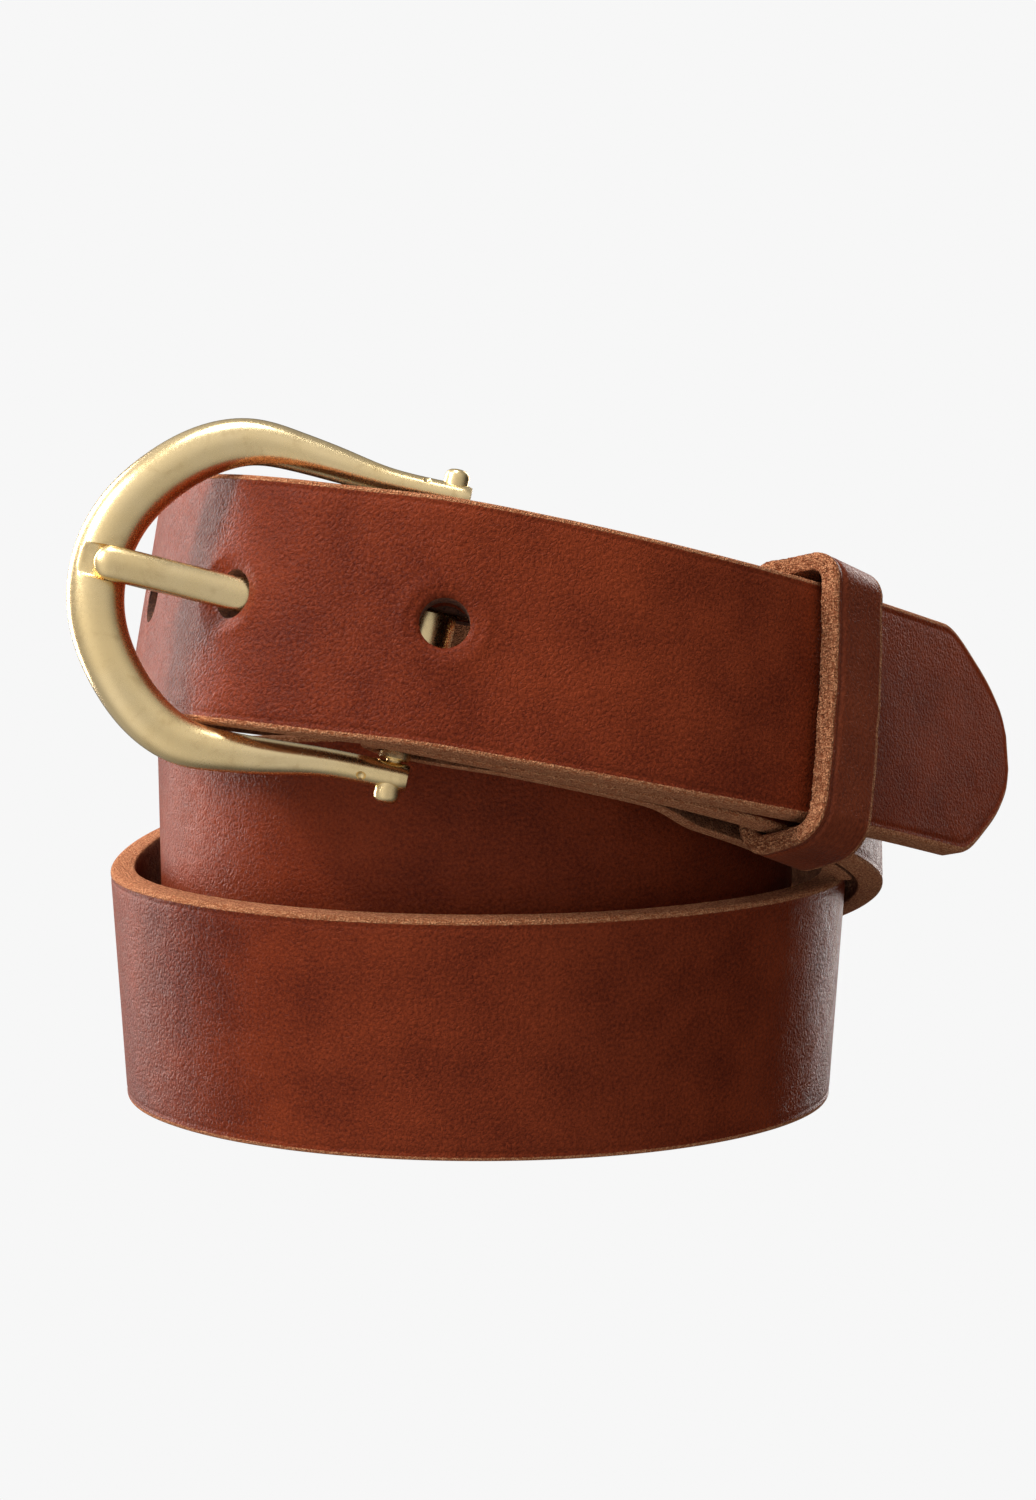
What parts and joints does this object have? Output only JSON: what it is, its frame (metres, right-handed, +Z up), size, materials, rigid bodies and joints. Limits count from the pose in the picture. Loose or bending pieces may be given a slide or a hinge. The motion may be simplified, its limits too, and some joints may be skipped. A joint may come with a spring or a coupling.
{
  "type": "leather belt",
  "caption": "One-ply leather belt, buckled and coiled to stand on its edge, with a horseshoe heel-bar buckle, punched tail and leather keeper.",
  "frame": {"origin": "middle of the footprint, on the surface the coil stands on", "axes": "+Z up, the buckle and the tail face -Y, the buckle at -X and the tail's point at +X"},
  "size_m": [0.1256, 0.1194, 0.0948],
  "materials": {
    "strap_leather": "chestnut full-grain, low sheen, raw tan edges",
    "keeper_leather": "chestnut, raw fibrous edges",
    "staple_steel": "bright wire",
    "buckle_brass": "satin antique brass",
    "screw_brass": "turned brass"
  },
  "bodies": {
    "strap_body": {"strap": "strap_leather", "screw_post_1": "screw_brass", "screw_1": "screw_brass", "screw_post_2": "screw_brass", "screw_2": "screw_brass"},
    "buckle_body": {"buckle_frame": "buckle_brass", "heel_bar": "buckle_brass"},
    "tongue_body": {"tongue": "buckle_brass"},
    "keeper_body": {"keeper_loop": "keeper_leather", "keeper_staple_1": "staple_steel", "keeper_staple_2": "staple_steel"}
  },
  "joints": [
    {"name": "buckle_swing", "type": "hinge", "parent": "strap_body", "child": "buckle_body", "pos_m": [-0.0177, -0.04543, 0.06813], "axis": [0.212, 0.2426, 0.9467], "range_deg": [0, 1.5]},
    {"name": "tongue_swing", "type": "hinge", "parent": "buckle_body", "child": "tongue_body", "pos_m": [-0.0177, -0.04543, 0.06813], "axis": [0.212, 0.2426, 0.9467], "range_deg": [0, 1.5]},
    {"name": "keeper_slide", "type": "slide", "parent": "strap_body", "child": "keeper_body", "axis": [0.6268, 0.7129, -0.3146], "range_m": [-0.002, 0.0015]}
  ]
}
